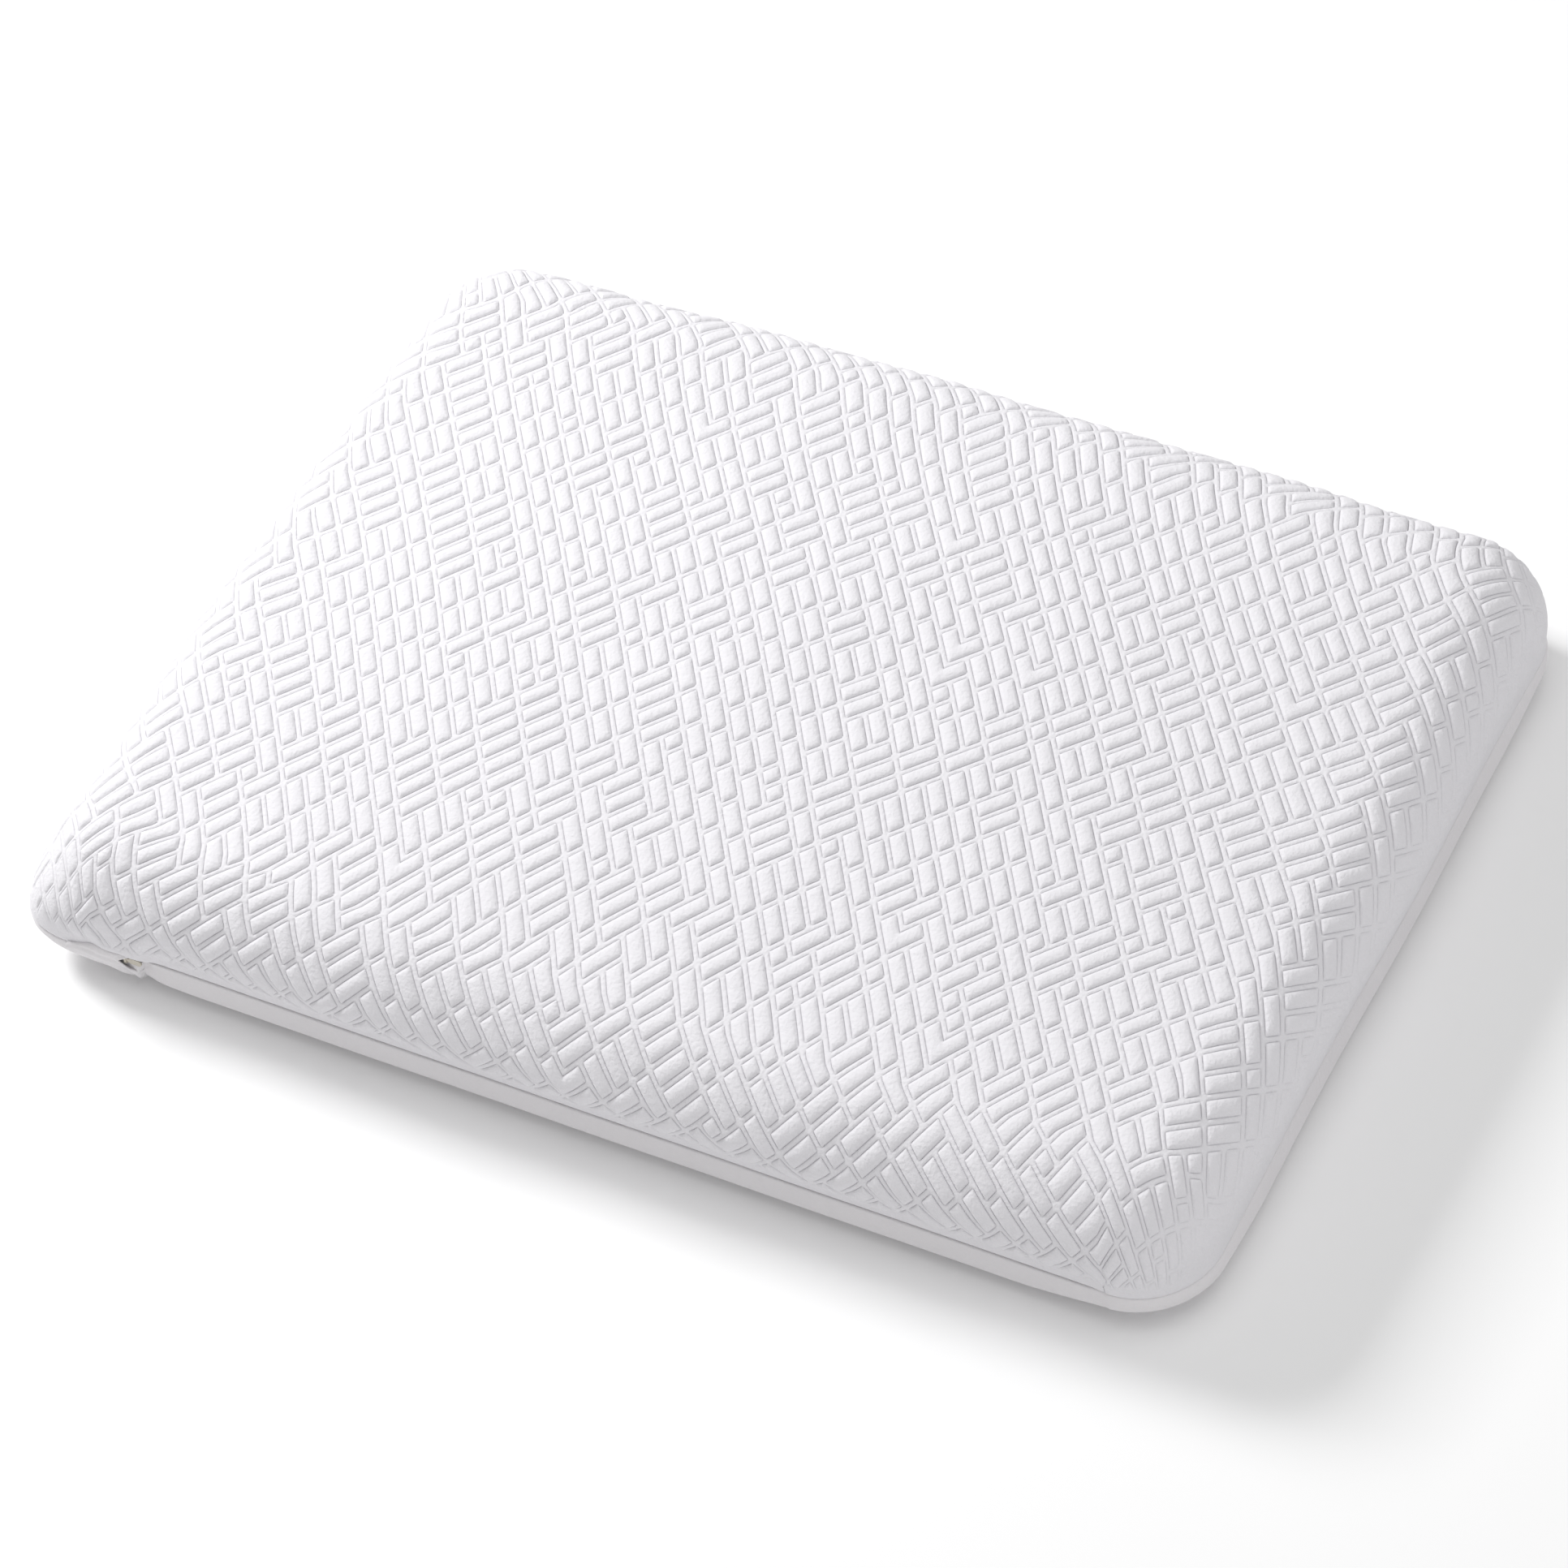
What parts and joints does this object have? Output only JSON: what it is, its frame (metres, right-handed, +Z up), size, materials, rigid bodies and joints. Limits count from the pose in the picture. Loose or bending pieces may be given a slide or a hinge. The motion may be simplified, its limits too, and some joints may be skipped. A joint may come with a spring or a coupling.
{
  "type": "memory foam pillow",
  "caption": "Loaf-shaped foam pillow in a zipped cover: quilted top panel wrapping down to a low seam, plain base, concealed zip with slider and pull.",
  "frame": {"origin": "centre of the footprint, on the resting face", "axes": "+X along the long side, +Z up through the crown; the zip is on the -Y side and its parked slider near the -X end"},
  "size_m": [0.6008, 0.4408, 0.094],
  "materials": {
    "foam": "matte open-cell foam",
    "liner_knit": "thin matte tricot knit",
    "quilted_knit": "soft brushed double knit, quilted in raised blocks",
    "plain_knit": "smooth matte jersey knit",
    "thread": "spun polyester thread",
    "zip_tape": "woven herringbone tape",
    "zip_coil": "satin nylon monofilament",
    "zip_metal": "satin enamel, warm grey"
  },
  "bodies": {
    "pillow": {"foam_core": "foam", "liner_top": "liner_knit", "liner_base": "liner_knit", "liner_seam": "thread", "cover_top_panel": "quilted_knit", "cover_base_panel": "plain_knit", "cover_seam": "thread", "zip_tape_top": "zip_tape", "zip_tape_base": "zip_tape", "zip_coil_top": "zip_coil", "zip_coil_base": "zip_coil", "tape_stitch_top": "thread", "tape_stitch_base": "thread", "top_stops": "zip_metal", "bottom_stop": "zip_metal", "bar_tacks": "thread", "zip_garage": "plain_knit"},
    "slider": {"zip_slider": "zip_metal"},
    "pull": {"zip_pull": "zip_metal"}
  },
  "joints": [
    {"name": "zip_run", "type": "slide", "parent": "pillow", "child": "slider", "axis": [1, 0, 0], "range_m": [0, 0.487]},
    {"name": "pull_swing", "type": "hinge", "parent": "slider", "child": "pull", "pos_m": [-0.2435, -0.2172, 0.026], "axis": [0, 0, -1], "range_deg": [0, 95]}
  ]
}
